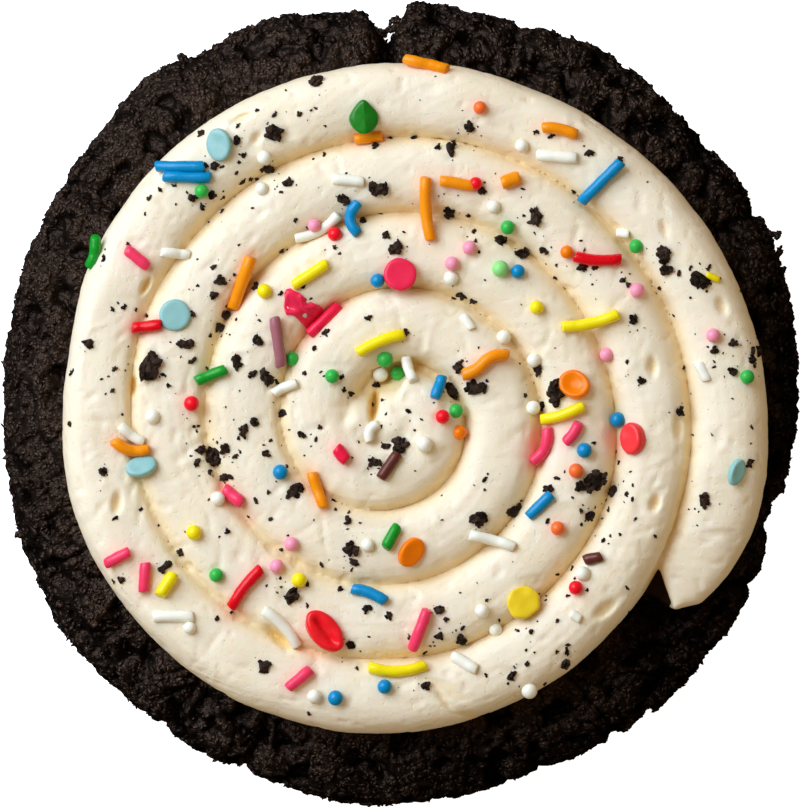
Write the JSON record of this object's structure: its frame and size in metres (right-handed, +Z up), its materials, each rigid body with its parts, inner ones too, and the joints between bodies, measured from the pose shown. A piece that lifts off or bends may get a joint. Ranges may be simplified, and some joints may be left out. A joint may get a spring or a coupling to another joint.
{
  "type": "cream-topped cookie",
  "caption": "Thick round dark cookie with a craggy edge, topped by a piped spiral of pale cream strewn with coloured sprinkles and cookie crumbs; lies flat on a plate",
  "frame": {"origin": "middle of the flat underside of the cookie", "axes": "+Z up through the cream; seen from above, +X to the right and +Y to the top, with the cream's pointed tail at the lower right"},
  "size_m": [0.1146, 0.1144, 0.0276],
  "materials": {
    "dark_cookie": "baked dark chocolate crumb, matt and craggy",
    "cream": "soft whipped cream, ivory with a low sheen",
    "sprinkle_sugar": "coloured sugar sprinkles with a low gloss: orange, blue, green, pink, red, yellow, plum and white"
  },
  "bodies": {
    "root": {"cookie_base": "dark_cookie", "cream_swirl": "cream"}
  },
  "joints": []
}
